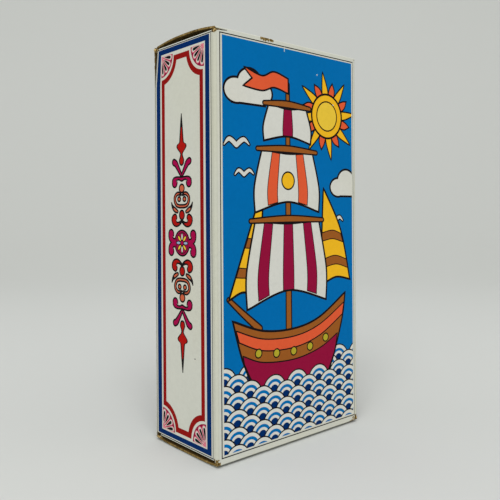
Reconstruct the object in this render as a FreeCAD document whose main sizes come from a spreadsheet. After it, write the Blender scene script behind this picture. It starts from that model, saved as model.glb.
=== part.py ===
import FreeCAD, Part
import math
import os
import Sketcher

# A tall folding carton of printed chipboard, standing on one end. A sleeve of four panels is
# closed by a glued seam at the back right corner. Each end has a bowed lid that hinges on the
# front panel, a tuck flap that goes down inside the back panel, and two dust flaps that hinge
# on the side panels and lie under the lid. The front faces -Y, and the part stands on Z = 0.

doc = FreeCAD.newDocument("folding_carton")
sizes = doc.addObject("Spreadsheet::Sheet", "Sizes")

DRIVING_SIZES = [
    ("case_width", "75", "outside width of the front panel"),
    ("case_depth", "39", "outside depth of the side panels"),
    ("case_height", "152", "outside height of the front panel, lid crease to lid crease"),
    ("board", "0.7", "thickness of the chipboard"),
    ("bend_radius", "0.4", "inside radius of the upright folds"),
    ("crease_gap", "0.15", "clearance between a panel and the round edge of what hinges on it"),
    ("lid_inset", "0.3", "how far a lid stays inside the side faces, each side"),
    ("top_bow", "1.3", "rise of the top lid above its creases"),
    ("top_flat", "4", "flat run in the middle of the top lid"),
    ("top_flap_gap", "0.4", "gap between the top lid's ends and the dust flaps"),
    ("bottom_bow", "0.5", "drop of the bottom lid below its creases"),
    ("bottom_flat", "17", "flat run of the bottom lid, which the case stands on"),
    ("bottom_flap_gap", "0.9", "gap between the bottom lid's ends and the dust flaps"),
    ("tuck_depth", "12", "length of a tuck flap below its crease"),
    ("tuck_lean", "18", "degrees by which a tuck flap leans in from the back panel"),
    ("tuck_gap", "0.4", "clearance between a tuck crease and the back panel"),
    ("tuck_side_gap", "1.2", "clearance between a tuck flap and each side panel"),
    ("tuck_corner", "6", "radius of a tuck flap's free corners"),
    ("dust_length", "22", "length of a dust flap from its crease"),
    ("dust_front_gap", "0.6", "clearance between a dust flap's root and the front fold"),
    ("dust_front_taper", "11", "how far a dust flap's front edge slants back at its free end"),
    ("dust_back_gap", "2.4", "distance between a tuck crease and a dust flap's back edge"),
    ("dust_shoulder", "3", "width of the slanted shoulder that guides the tuck flap"),
    ("dust_back_taper", "2", "further slant of a dust flap's back edge past its shoulder"),
    ("dust_corner", "3", "radius of a dust flap's free corners"),
    ("back_drop", "0.2", "how far the back panel's cut edges stay inside the lid creases"),
    ("seam_setback", "0.2", "distance from the right face to the back panel's cut edge"),
    ("glue_flap_width", "13", "width of the glue flap behind the back panel"),
    ("glue_flap_corner", "5", "chamfer of the glue flap's free corners"),
    ("glue_end", "14", "how far the glue flap stops short of the side panel's ends"),
    ("glue_film", "0.1", "thickness of the dried glue in the seam"),
    ("glue_border", "1.5", "bare border round the glue"),
    ("tear_width", "2", "width at the top of the tear in the back left fold"),
    ("tear_length", "14", "how far the tear runs down the back left fold"),
]
for row, (alias, number, meaning) in enumerate(DRIVING_SIZES, start=1):
    sizes.set(f"A{row}", meaning)
    sizes.set(f"B{row}", number)
    sizes.setAlias(f"B{row}", alias)
doc.recompute()

# Places worked out from the driving sizes, each an expression on the sheet.
half_board = "(Sizes.board / 2)"
fold = "(Sizes.bend_radius + Sizes.board)"
left = "(-Sizes.case_width / 2)"
right = "(Sizes.case_width / 2)"
front = "(-Sizes.case_depth / 2)"
back = "(Sizes.case_depth / 2)"
top_axis = "(Sizes.bottom_bow + Sizes.case_height - Sizes.board / 2)"
bottom_axis = "(Sizes.bottom_bow + Sizes.board / 2)"
crease_clear = "(Sizes.board / 2 + Sizes.crease_gap)"
side_top = f"({top_axis} - Sizes.board - Sizes.top_flap_gap - {crease_clear})"
side_bottom = f"({bottom_axis} + Sizes.board + Sizes.bottom_flap_gap + {crease_clear})"
seam_face = f"({back} - Sizes.board - Sizes.glue_film)"
tuck_axis_y = f"({back} - Sizes.board - Sizes.tuck_gap - {half_board})"
lid_axis_y = f"({front} + {half_board})"
lid_end_y = f"({tuck_axis_y} - {crease_clear} - Sizes.crease_gap)"

LINE = 0
LEFT_TURN = 1
RIGHT_TURN = -1
HALF_ROUND = 2


def number(expression):
    """The present value of an expression on the sheet."""
    found = sizes.evalExpression(expression)
    return float(getattr(found, "Value", found))


def new_body(label):
    """An empty body that becomes one piece of the carton."""
    body = doc.addObject("PartDesign::Body", label)
    body.Label = label
    return body


def origin_plane(body, role):
    """One of a body's own origin planes."""
    return next(f for f in body.Origin.OriginFeatures if f.Role == role)


def arc_between(start, end, radius, turn):
    """The shorter arc from start to end, and whether the sketch holds it end first."""
    chord = end - start
    middle = (start + end) * 0.5
    rise = math.sqrt(max(radius**2 - chord.Length**2 / 4, 0.0))
    across = FreeCAD.Vector(-chord.y, chord.x, 0).normalize()
    centre = middle + across * rise * turn
    first, last = (start, end) if turn != RIGHT_TURN else (end, start)
    first_angle = math.atan2(first.y - centre.y, first.x - centre.x)
    last_angle = math.atan2(last.y - centre.y, last.x - centre.x)
    if last_angle <= first_angle:
        last_angle += 2 * math.pi
    circle = Part.Circle(centre, FreeCAD.Vector(0, 0, 1), radius)
    return Part.ArcOfCircle(circle, first_angle, last_angle), turn == RIGHT_TURN


def outline(body, name, plane, offset, corners):
    """A closed sketch through corners (across, up), each with what shapes the edge to the next corner.

    An arc adds its turn and its radius. A half round turns left, and adds where its centre is across,
    or None where its centre is on the sketch's own axis.
    """
    sketch = body.newObject("Sketcher::SketchObject", name)
    sketch.AttachmentSupport = [(origin_plane(body, plane), "")]
    sketch.MapMode = "FlatFace"
    sketch.setExpression("AttachmentOffset.Base.z", offset)
    places = [FreeCAD.Vector(number(c[0]), number(c[1]), 0) for c in corners]
    ends = []
    for index, corner in enumerate(corners):
        start = places[index]
        end = places[(index + 1) % len(places)]
        turn = corner[2] if len(corner) > 2 else LINE
        if turn == LINE:
            edge = sketch.addGeometry(Part.LineSegment(start, end))
            ends.append((edge, 1, 2))
            continue
        radius = start.distanceToPoint(end) / 2 if turn == HALF_ROUND else number(corner[3])
        arc, reversed_ends = arc_between(start, end, radius, turn)
        edge = sketch.addGeometry(arc)
        ends.append((edge, 2, 1) if reversed_ends else (edge, 1, 2))
    for index, (edge, _, last) in enumerate(ends):
        following, following_first, _ = ends[(index + 1) % len(ends)]
        sketch.addConstraint(Sketcher.Constraint("Coincident", edge, last, following, following_first))
    for index, (edge, first, _) in enumerate(ends):
        for kind, expression, place in (
            ("DistanceX", corners[index][0], places[index].x),
            ("DistanceY", corners[index][1], places[index].y),
        ):
            held = sketch.addConstraint(Sketcher.Constraint(kind, -1, 1, edge, first, place))
            sketch.setExpression(f"Constraints[{held}]", expression)
        if len(corners[index]) == 2:
            continue
        turn, shape = corners[index][2:]
        if shape is None:
            sketch.addConstraint(Sketcher.Constraint("PointOnObject", edge, 3, -1))
            continue
        if turn == HALF_ROUND:
            hold = Sketcher.Constraint("DistanceX", -1, 1, edge, 3, number(shape))
        else:
            hold = Sketcher.Constraint("Radius", edge, number(shape))
        sketch.setExpression(f"Constraints[{sketch.addConstraint(hold)}]", shape)
    return sketch


def pad(body, sketch, name, length):
    """The sketch drawn out along its plane's normal."""
    feature = body.newObject("PartDesign::Pad", name)
    feature.Profile = sketch
    feature.setExpression("Length", length)
    doc.recompute()
    return feature


def short_edges(feature, places):
    """The names of a board's edges through its thickness that start or end nearest to the places given."""
    found = []
    for place in places:
        along = [
            (edge.CenterOfMass.distanceToPoint(place), f"Edge{index}")
            for index, edge in enumerate(feature.Shape.Edges, start=1)
            if abs(edge.Length - number("Sizes.board")) < number("Sizes.board") / 100
        ]
        found.append(min(along)[1])
    return found


def dress(body, kind, name, base, places, prop, size):
    """A fillet or chamfer on the corners of a board, at the places given."""
    feature = body.newObject(kind, name)
    feature.Base = (base, short_edges(base, places))
    feature.setExpression(prop, size)
    doc.recompute()
    return feature


# Sleeve panels. The front panel carries both front folds, the back panel the left one, and the
# glue flap the fold of the back right corner, so the side panels are flat boards between folds.
front_panel = new_body("front_panel")
front_section = outline(
    front_panel,
    "front_section",
    "XY_Plane",
    f"{bottom_axis} + {crease_clear}",
    [
        (left, f"{front} + {fold}", LEFT_TURN, fold),
        (f"{left} + {fold}", front),
        (f"{right} - {fold}", front, LEFT_TURN, fold),
        (right, f"{front} + {fold}"),
        (f"{right} - Sizes.board", f"{front} + {fold}", RIGHT_TURN, "Sizes.bend_radius"),
        (f"{right} - {fold}", f"{front} + Sizes.board"),
        (f"{left} + {fold}", f"{front} + Sizes.board", RIGHT_TURN, "Sizes.bend_radius"),
        (f"{left} + Sizes.board", f"{front} + {fold}"),
    ],
)
pad(front_panel, front_section, "front_board", f"{top_axis} - {bottom_axis} - 2 * {crease_clear}")

right_side_panel = new_body("right_side_panel")
right_outline = outline(
    right_side_panel,
    "right_outline",
    "YZ_Plane",
    f"{right} - Sizes.board",
    [
        (f"{front} + {fold}", side_bottom),
        (seam_face, side_bottom),
        (seam_face, f"{side_bottom} + Sizes.glue_end"),
        (f"{seam_face} - {fold}", f"{side_bottom} + Sizes.glue_end"),
        (f"{seam_face} - {fold}", f"{side_top} - Sizes.glue_end"),
        (seam_face, f"{side_top} - Sizes.glue_end"),
        (seam_face, side_top),
        (f"{front} + {fold}", side_top),
    ],
)
pad(right_side_panel, right_outline, "right_board", "Sizes.board")

# The back left fold is torn at its top, where the left side panel's edge leans away from the fold.
left_side_panel = new_body("left_side_panel")
left_outline = outline(
    left_side_panel,
    "left_outline",
    "YZ_Plane",
    left,
    [
        (f"{front} + {fold}", side_bottom),
        (f"{back} - {fold}", side_bottom),
        (f"{back} - {fold}", f"{side_top} - Sizes.tear_length"),
        (f"{back} - {fold} - Sizes.tear_width", side_top),
        (f"{front} + {fold}", side_top),
    ],
)
pad(left_side_panel, left_outline, "left_board", "Sizes.board")

back_panel = new_body("back_panel")
back_section = outline(
    back_panel,
    "back_section",
    "XY_Plane",
    f"{bottom_axis} - {half_board} + Sizes.back_drop",
    [
        (f"{right} - Sizes.seam_setback", f"{back} - Sizes.board"),
        (f"{right} - Sizes.seam_setback", back),
        (f"{left} + {fold}", back, LEFT_TURN, fold),
        (left, f"{back} - {fold}"),
        (f"{left} + Sizes.board", f"{back} - {fold}", RIGHT_TURN, "Sizes.bend_radius"),
        (f"{left} + {fold}", f"{back} - Sizes.board"),
    ],
)
pad(back_panel, back_section, "back_board", "Sizes.case_height - 2 * Sizes.back_drop")

# Glued seam at the back right corner. The flap stops short of both ends to leave the tuck flaps room.
glue_flap = new_body("glue_flap")
glue_section = outline(
    glue_flap,
    "glue_section",
    "XY_Plane",
    f"{side_bottom} + Sizes.glue_end",
    [
        (right, f"{seam_face} - {fold}", LEFT_TURN, fold),
        (f"{right} - {fold}", seam_face),
        (f"{right} - Sizes.glue_flap_width", seam_face),
        (f"{right} - Sizes.glue_flap_width", f"{seam_face} - Sizes.board"),
        (f"{right} - {fold}", f"{seam_face} - Sizes.board", RIGHT_TURN, "Sizes.bend_radius"),
        (f"{right} - Sizes.board", f"{seam_face} - {fold}"),
    ],
)
glue_height = f"({side_top} - {side_bottom} - 2 * Sizes.glue_end)"
glue_board = pad(glue_flap, glue_section, "glue_board", glue_height)
glue_edge = number(f"{right} - Sizes.glue_flap_width")
glue_middle = number(f"{seam_face} - {half_board}")
glue_corners = [
    FreeCAD.Vector(glue_edge, glue_middle, number(f"{side_bottom} + Sizes.glue_end")),
    FreeCAD.Vector(glue_edge, glue_middle, number(f"{side_top} - Sizes.glue_end")),
]
corner_cut = "Sizes.glue_flap_corner"
dress(glue_flap, "PartDesign::Chamfer", "glue_corner_cuts", glue_board, glue_corners, "Size", corner_cut)

seam_glue = new_body("seam_glue")
glue_low = f"{side_bottom} + Sizes.glue_end + Sizes.glue_flap_corner"
glue_high = f"{side_top} - Sizes.glue_end - Sizes.glue_flap_corner"
glue_left = f"{right} - Sizes.glue_flap_width + Sizes.glue_border"
glue_right = f"{right} - {fold} - Sizes.glue_border"
film_outline = outline(
    seam_glue,
    "film_outline",
    "XY_Plane",
    glue_low,
    [
        (glue_left, seam_face),
        (glue_right, seam_face),
        (glue_right, f"{seam_face} + Sizes.glue_film"),
        (glue_left, f"{seam_face} + Sizes.glue_film"),
    ],
)
pad(seam_glue, film_outline, "film", f"({glue_high}) - ({glue_low})")


def lid(end):
    """A bowed lid with a round front edge on its crease axis. Z here runs outwards from that axis."""
    rise = f"Sizes.{end}_bow"
    middle = f"(({lid_end_y} + {lid_axis_y}) / 2)"
    flat = f"(Sizes.{end}_flat / 2)"
    reach = f"(({lid_end_y} - {lid_axis_y}) / 2 - {flat})"
    radius = f"(({reach} ^ 2 + {rise} ^ 2) / (2 * {rise}))"
    lean = f"({half_board} * {reach} / {radius})"
    stand = f"({half_board} * (1 - {rise} / {radius}))"
    outer = f"{radius} + {half_board}"
    inner = f"{radius} - {half_board}"
    body = new_body(f"{end}_lid")
    profile = outline(
        body,
        f"{end}_lid_profile",
        "YZ_Plane",
        f"{left} + Sizes.lid_inset",
        [
            (f"{lid_axis_y} + {lean}", f"-{stand}", RIGHT_TURN, inner),
            (f"{middle} - {flat}", f"{rise} - {half_board}"),
            (f"{middle} + {flat}", f"{rise} - {half_board}", RIGHT_TURN, inner),
            (f"{lid_end_y} - {lean}", f"-{stand}"),
            (f"{lid_end_y} + {lean}", stand, LEFT_TURN, outer),
            (f"{middle} + {flat}", f"{rise} + {half_board}"),
            (f"{middle} - {flat}", f"{rise} + {half_board}", LEFT_TURN, outer),
            (f"{lid_axis_y} - {lean}", stand, HALF_ROUND, lid_axis_y),
        ],
    )
    pad(body, profile, f"{end}_lid_board", "Sizes.case_width - 2 * Sizes.lid_inset")
    return body


def tuck_flap(end):
    """A tuck flap, with a round root on its crease axis, leaning away from the back panel."""
    along_y = "(Sizes.tuck_depth * sin(Sizes.tuck_lean))"
    along_z = "(Sizes.tuck_depth * cos(Sizes.tuck_lean))"
    face_y = f"({half_board} * cos(Sizes.tuck_lean))"
    face_z = f"({half_board} * sin(Sizes.tuck_lean))"
    body = new_body(f"{end}_tuck_flap")
    side = f"({left} + Sizes.board + Sizes.tuck_side_gap)"
    profile = outline(
        body,
        f"{end}_tuck_profile",
        "YZ_Plane",
        side,
        [
            (f"{tuck_axis_y} + {face_y}", f"-{face_z}", HALF_ROUND, None),
            (f"{tuck_axis_y} - {face_y}", face_z),
            (f"{tuck_axis_y} - {along_y} - {face_y}", f"{face_z} - {along_z}"),
            (f"{tuck_axis_y} - {along_y} + {face_y}", f"-{face_z} - {along_z}"),
        ],
    )
    board = pad(body, profile, f"{end}_tuck_board", f"-2 * {side}")
    tip_y = number(f"{tuck_axis_y} - {along_y}")
    tip_z = number(f"-{along_z}")
    corners = [FreeCAD.Vector(number(side) * hand, tip_y, tip_z) for hand in (1, -1)]
    dress(body, "PartDesign::Fillet", f"{end}_tuck_corners", board, corners, "Radius", "Sizes.tuck_corner")
    return body


def dust_flap(end, label, hand):
    """A dust flap, tapered to clear the lid and the tuck flap. Hand is -1 for the flap at this end's -X."""
    level = f"(-Sizes.board - Sizes.{end}_flap_gap)"
    root_front = f"({front} + {fold} + Sizes.dust_front_gap)"
    root_back = f"({tuck_axis_y} - Sizes.dust_back_gap)"
    root = f"({right} - {half_board})"
    tip = f"({root} - Sizes.dust_length)"
    tip_front = f"({root_front} + Sizes.dust_front_taper)"
    shoulder = f"({root_back} - Sizes.dust_shoulder)"
    tip_back = f"({shoulder} - Sizes.dust_back_taper)"
    sign = "-" if hand < 0 else ""
    body = new_body(label)
    corners = [
        (f"{sign}{root}", root_back),
        (f"{sign}({root} - Sizes.dust_shoulder)", shoulder),
        (f"{sign}{tip}", tip_back),
        (f"{sign}{tip}", tip_front),
        (f"{sign}{root}", root_front),
    ]
    shape = outline(body, f"{label}_outline", "XY_Plane", f"{level} - {half_board}", corners)
    board = pad(body, shape, f"{label}_board", "Sizes.board")
    tip_x = hand * number(tip)
    tips = [FreeCAD.Vector(tip_x, number(y), number(level)) for y in (tip_back, tip_front)]
    dress(body, "PartDesign::Fillet", f"{label}_corners", board, tips, "Radius", "Sizes.dust_corner")
    crease = body.newObject("PartDesign::AdditiveCylinder", f"{label}_crease")
    crease.setExpression("Radius", half_board)
    crease.setExpression("Height", f"{root_back} - {root_front}")
    crease.Placement.Rotation = FreeCAD.Rotation(FreeCAD.Vector(1, 0, 0), 90)
    crease.setExpression("Placement.Base.x", f"{sign}{root}")
    crease.setExpression("Placement.Base.y", root_back)
    crease.setExpression("Placement.Base.z", level)
    body.Tip = crease
    doc.recompute()
    return body


# The two ends are made alike. The bottom one is turned over about Y, so its left and right change places.
for end, axis, turned, sides in (
    ("top", top_axis, 0, ("left", "right")),
    ("bottom", bottom_axis, 180, ("right", "left")),
):
    closures = [lid(end), tuck_flap(end)]
    for hand, side in zip((-1, 1), sides):
        closures.append(dust_flap(end, f"{end}_{side}_dust_flap", hand))
    for body in closures:
        end_turn = FreeCAD.Rotation(FreeCAD.Vector(0, 1, 0), turned)
        body.Placement = FreeCAD.Placement(FreeCAD.Vector(), end_turn)
        body.setExpression("Placement.Base.z", axis)

doc.recompute()
for thing in doc.Objects:
    if "Invalid" in thing.State or "Error" in thing.State:
        raise RuntimeError(f"{thing.Label} failed to build: {thing.State}")
bodies = [thing for thing in doc.Objects if thing.TypeId == "PartDesign::Body"]
for body in bodies:
    if body.Shape.isNull() or not body.Shape.isValid() or len(body.Shape.Solids) != 1:
        raise RuntimeError(f"{body.Label} is not one valid solid")

os.makedirs("parts", exist_ok=True)
for body in bodies:
    body.Shape.exportStep(f"parts/{body.Label}.step")
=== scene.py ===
import math
import random

import bmesh
import bpy
from mathutils import Matrix, Vector
from mathutils.geometry import delaunay_2d_cdt
from mathutils.noise import noise as noise_at


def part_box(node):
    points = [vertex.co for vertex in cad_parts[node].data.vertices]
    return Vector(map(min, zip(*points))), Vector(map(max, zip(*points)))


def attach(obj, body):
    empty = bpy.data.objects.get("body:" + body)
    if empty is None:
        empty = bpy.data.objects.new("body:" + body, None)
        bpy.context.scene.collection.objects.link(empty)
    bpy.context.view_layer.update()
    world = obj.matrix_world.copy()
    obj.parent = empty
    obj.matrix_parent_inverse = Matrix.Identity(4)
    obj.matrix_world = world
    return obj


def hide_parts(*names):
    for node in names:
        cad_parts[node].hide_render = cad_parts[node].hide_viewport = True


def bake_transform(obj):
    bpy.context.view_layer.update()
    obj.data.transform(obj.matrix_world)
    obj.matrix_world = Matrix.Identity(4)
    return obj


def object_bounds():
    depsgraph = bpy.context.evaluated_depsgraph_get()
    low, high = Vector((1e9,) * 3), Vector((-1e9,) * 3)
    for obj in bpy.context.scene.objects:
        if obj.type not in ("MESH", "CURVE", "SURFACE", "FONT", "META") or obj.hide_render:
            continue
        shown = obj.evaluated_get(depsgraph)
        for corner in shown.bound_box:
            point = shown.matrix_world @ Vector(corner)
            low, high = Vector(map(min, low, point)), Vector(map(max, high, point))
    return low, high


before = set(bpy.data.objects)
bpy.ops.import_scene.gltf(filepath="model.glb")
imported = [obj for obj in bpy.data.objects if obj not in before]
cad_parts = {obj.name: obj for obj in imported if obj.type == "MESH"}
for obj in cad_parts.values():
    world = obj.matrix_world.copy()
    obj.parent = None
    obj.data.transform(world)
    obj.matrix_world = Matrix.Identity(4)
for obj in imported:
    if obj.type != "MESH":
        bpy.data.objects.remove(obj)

cad_box = [list(corner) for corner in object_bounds()]

# Viewpoint. The case is seen from its front left, level with the upper half of its print, through a
# normal lens held upright, so that its upright edges stay parallel.
MM = 0.001
VIEW_TURN = math.radians(40.884)
VIEW_ROLL = math.radians(-0.343)
EYE = Vector((-169.77, -190.44, 88.64)) * MM
LENS = 45.17
FRAME_DROP = -0.0784
NEAREST_SEEN = 0.01

ahead = Vector((math.sin(VIEW_TURN), math.cos(VIEW_TURN), 0.0))
level = Vector((math.cos(VIEW_TURN), -math.sin(VIEW_TURN), 0.0))
upright = Vector((0.0, 0.0, 1.0))
across = level * math.cos(VIEW_ROLL) + upright * math.sin(VIEW_ROLL)
above = upright * math.cos(VIEW_ROLL) - level * math.sin(VIEW_ROLL)
camera = bpy.data.objects.new("camera", bpy.data.cameras.new("camera"))
camera.data.lens = LENS
camera.data.shift_y = FRAME_DROP
camera.data.clip_start = NEAREST_SEEN
camera.matrix_world = Matrix.Translation(EYE) @ Matrix((across, above, -ahead)).transposed().to_4x4()
bpy.context.scene.collection.objects.link(camera)
bpy.context.scene.camera = camera
bpy.context.scene.view_settings.view_transform = "Standard"


# Studio. A pale paper sweep runs under the case and rises behind it, in an even white room with one
# large soft lamp over the camera. The paper lies half a millimetre below the case's lowest face.
def seen(red, green, blue):
    """A colour as a screen shows it, 0 to 255 each, in the shader's linear values."""
    shares = [value / 255 for value in (red, green, blue)]
    return tuple(s / 12.92 if s <= 0.04045 else ((s + 0.055) / 1.055) ** 2.4 for s in shares) + (1.0,)


def new_material(name, roughness, specular):
    """A material with its Principled shader."""
    material = bpy.data.materials.new(name)
    material.use_nodes = True
    shader = material.node_tree.nodes["Principled BSDF"]
    shader.inputs["Roughness"].default_value = roughness
    shader.inputs["Specular IOR Level"].default_value = specular
    return material, shader


def new_piece(name, shape, *materials):
    """A finished bmesh as an object at the origin, with its materials in order."""
    mesh = bpy.data.meshes.new(name)
    shape.to_mesh(mesh)
    shape.free()
    for material in materials:
        mesh.materials.append(material)
    piece = bpy.data.objects.new(name, mesh)
    bpy.context.scene.collection.objects.link(piece)
    return piece


def of_kind(geometry, kind):
    """The vertices, edges or faces in an operator's result."""
    return [part for part in geometry if isinstance(part, kind)]


def drawn_out(shape, edges, step):
    """New faces drawn from the edges by a step, and the edges at their far side."""
    drawn = bmesh.ops.extrude_edge_only(shape, edges=edges)["geom"]
    bmesh.ops.translate(shape, verts=of_kind(drawn, bmesh.types.BMVert), vec=step)
    return of_kind(drawn, bmesh.types.BMEdge)


def node(tree, kind, inputs, **settings):
    """A node with its settings, and its inputs set to values or joined to other outputs."""
    made = tree.nodes.new(kind)
    for label, value in settings.items():
        setattr(made, label, value)
    for label, value in inputs.items():
        if isinstance(value, bpy.types.NodeSocket):
            tree.links.new(value, made.inputs[label])
        else:
            made.inputs[label].default_value = value
    return made.outputs


def between(tree, value, low, high, least=0.0, most=1.0):
    """A value that runs smoothly from least to most while the one given runs from low to high."""
    limits = {"Value": value, "From Min": low, "From Max": high, "To Min": least, "To Max": most}
    return node(tree, "ShaderNodeMapRange", limits, interpolation_type="SMOOTHSTEP")["Result"]


# Places of the two colours, and of the mixed colour, among a Mix node's sockets.
FIRST_COLOUR, SECOND_COLOUR, MIXED_COLOUR = 6, 7, 2


def mixed(tree, share, first, second, way="MIX"):
    """Two colours mixed by a share."""
    inputs = {"Factor": share, FIRST_COLOUR: first, SECOND_COLOUR: second}
    return node(tree, "ShaderNodeMix", inputs, data_type="RGBA", blend_type=way)[MIXED_COLOUR]


SWEEP_HALF = 9.0
SWEEP_NEAR = 9.0
SWEEP_FLAT = 0.5
SWEEP_BEND = 1.5
SWEEP_BEND_STEPS = 32
SWEEP_RISE = 4.0
SWEEP_LEVEL = -0.5 * MM
sweep_shape = bmesh.new()
sweep_ends = [sweep_shape.verts.new((x, -SWEEP_NEAR, SWEEP_LEVEL)) for x in (-SWEEP_HALF, SWEEP_HALF)]
sweep_edges = [sweep_shape.edges.new(sweep_ends)]
sweep_edges = drawn_out(sweep_shape, sweep_edges, (0, SWEEP_NEAR + SWEEP_FLAT, 0))
bend = bmesh.ops.spin(
    sweep_shape,
    geom=sweep_edges + [end for edge in sweep_edges for end in edge.verts],
    cent=(0, SWEEP_FLAT, SWEEP_LEVEL + SWEEP_BEND),
    axis=(1, 0, 0),
    angle=math.pi / 2,
    steps=SWEEP_BEND_STEPS,
)
drawn_out(sweep_shape, of_kind(bend["geom_last"], bmesh.types.BMEdge), (0, 0, SWEEP_RISE))
bmesh.ops.rotate(
    sweep_shape, verts=sweep_shape.verts, cent=(0, 0, 0), matrix=Matrix.Rotation(-VIEW_TURN, 3, "Z")
)
for face in sweep_shape.faces:
    face.smooth = True

# The paper's colour is painted lighter round the case than further off and up the wall: painted light, which
# lifts the shade round the case's foot.
SWEEP_NEAR_PAINTED_LIGHT = seen(201, 203, 200)
SWEEP_FAR = seen(194, 196, 192)
SWEEP_WALL = seen(195, 197, 193)
FAR_FROM, FAR_TO = 0.2, 0.9
WALL_FROM, WALL_TO = 0.05, 0.5
sweep_paper, sweep_shader = new_material("sweep_paper", 0.9, 0.1)
sweep_tree = sweep_paper.node_tree
sweep_place = node(sweep_tree, "ShaderNodeTexCoord", {})["Object"]
sweep_reach = node(sweep_tree, "ShaderNodeVectorMath", {0: sweep_place}, operation="LENGTH")["Value"]
sweep_height = node(sweep_tree, "ShaderNodeSeparateXYZ", {0: sweep_place})["Z"]
far_share = between(sweep_tree, sweep_reach, FAR_FROM, FAR_TO)
wall_share = between(sweep_tree, sweep_height, WALL_FROM, WALL_TO)
# Painted light: the paper lighter round the case.
sweep_colour = mixed(sweep_tree, far_share, SWEEP_NEAR_PAINTED_LIGHT, SWEEP_FAR)
sweep_colour = mixed(sweep_tree, wall_share, sweep_colour, SWEEP_WALL)
sweep_tree.links.new(sweep_colour, sweep_shader.inputs["Base Color"])
studio_sweep = new_piece("studio_sweep", sweep_shape, sweep_paper)

ROOM_LIGHT = 0.72
LAMP_LIGHT = 75.0
LAMP_SIZE = 2.2
LAMP_PLACE = Vector((-1.5, -1.6, 2.5))
room = bpy.data.worlds.new("white_room")
room.use_nodes = True
room.node_tree.nodes["Background"].inputs["Color"].default_value = (1, 1, 1, 1)
room.node_tree.nodes["Background"].inputs["Strength"].default_value = ROOM_LIGHT
bpy.context.scene.world = room
lamp = bpy.data.objects.new("soft_lamp", bpy.data.lights.new("soft_lamp", "AREA"))
lamp.data.size = LAMP_SIZE
lamp.data.energy = LAMP_LIGHT
lamp.matrix_world = Matrix.Translation(LAMP_PLACE) @ LAMP_PLACE.to_track_quat("Z", "Y").to_matrix().to_4x4()
bpy.context.scene.collection.objects.link(lamp)


# Board. The case is cut from brown chipboard of recycled pulp, faced outside with a white coated liner
# that carries the print. Cut edges, the inside and every rubbed spot show the brown pulp; on the inside it is
# darkened with painted shade.
PAPER = seen(201, 202, 191)
# Painted shade: the liner's white made darker where it turns round the upright folds.
FOLD_PAINTED_SHADE = seen(191, 192, 178)
PULP = seen(122, 98, 52)
PULP_DARK = seen(86, 68, 32)
PULP_PALE = seen(170, 146, 94)
# Painted shade: the inner side's pulp is multiplied by this, to darken the gaps between the flaps and the
# inside of the case.
INNER_PAINTED_SHADE = (0.44, 0.41, 0.37, 1)
AGED_TINT = (0.98, 0.96, 0.88, 1)
HANDLED_TINT = (0.72, 0.7, 0.64, 1)
MOTTLED_TINT = (0.6, 0.6, 0.6, 1)
VECTOR, COLOR, FLOAT = "NodeSocketVector", "NodeSocketColor", "NodeSocketFloat"


def new_group(name, inputs, outputs):
    """A shader group with named inputs and outputs, and its two end nodes."""
    group = bpy.data.node_groups.new(name, "ShaderNodeTree")
    for label, kind in inputs:
        group.interface.new_socket(label, in_out="INPUT", socket_type=kind)
    for label, kind in outputs:
        group.interface.new_socket(label, in_out="OUTPUT", socket_type=kind)
    return group, group.nodes.new("NodeGroupInput").outputs, group.nodes.new("NodeGroupOutput").inputs


def noise(tree, place, scale, detail):
    """Smooth noise at so many cells a metre."""
    return node(tree, "ShaderNodeTexNoise", {"Vector": place, "Scale": scale, "Detail": detail})["Fac"]


def figure(tree, operation, first, second):
    """One sum on two values."""
    return node(tree, "ShaderNodeMath", {0: first, 1: second}, operation=operation)["Value"]


def blended(tree, share, first, second):
    """Two values mixed by a share."""
    return node(tree, "ShaderNodeMix", {"Factor": share, "A": first, "B": second})["Result"]


# Brown pulp: fibres that lie along the height, cloudy tone and dark specks, and painted shade that darkens
# the inner side.
GRAIN_STRETCH = (1.0, 1.0, 0.3)
FIBRE_CELLS, CLOUD_CELLS, SPECK_CELLS = 2400.0, 140.0, 1300.0
pulp_group, given, result = new_group(
    "chipboard_pulp", [("Place", VECTOR), ("Inner", FLOAT)], [("Color", COLOR), ("Height", FLOAT)]
)
grain = node(pulp_group, "ShaderNodeMapping", {"Vector": given["Place"], "Scale": GRAIN_STRETCH})["Vector"]
fibres = noise(pulp_group, grain, FIBRE_CELLS, 4.0)
cloudy = noise(pulp_group, given["Place"], CLOUD_CELLS, 3.0)
specks = noise(pulp_group, given["Place"], SPECK_CELLS, 1.0)
colour = mixed(pulp_group, between(pulp_group, cloudy, 0.3, 0.7), PULP, PULP_DARK)
colour = mixed(pulp_group, between(pulp_group, fibres, 0.5, 0.7), colour, PULP_PALE)
colour = mixed(pulp_group, between(pulp_group, specks, 0.68, 0.74), colour, PULP_DARK)
# Painted shade, multiplied in on the inner side.
colour = mixed(pulp_group, given["Inner"], colour, INNER_PAINTED_SHADE, "MULTIPLY")
pulp_group.links.new(colour, result["Color"])
pulp_group.links.new(fibres, result["Height"])

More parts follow.
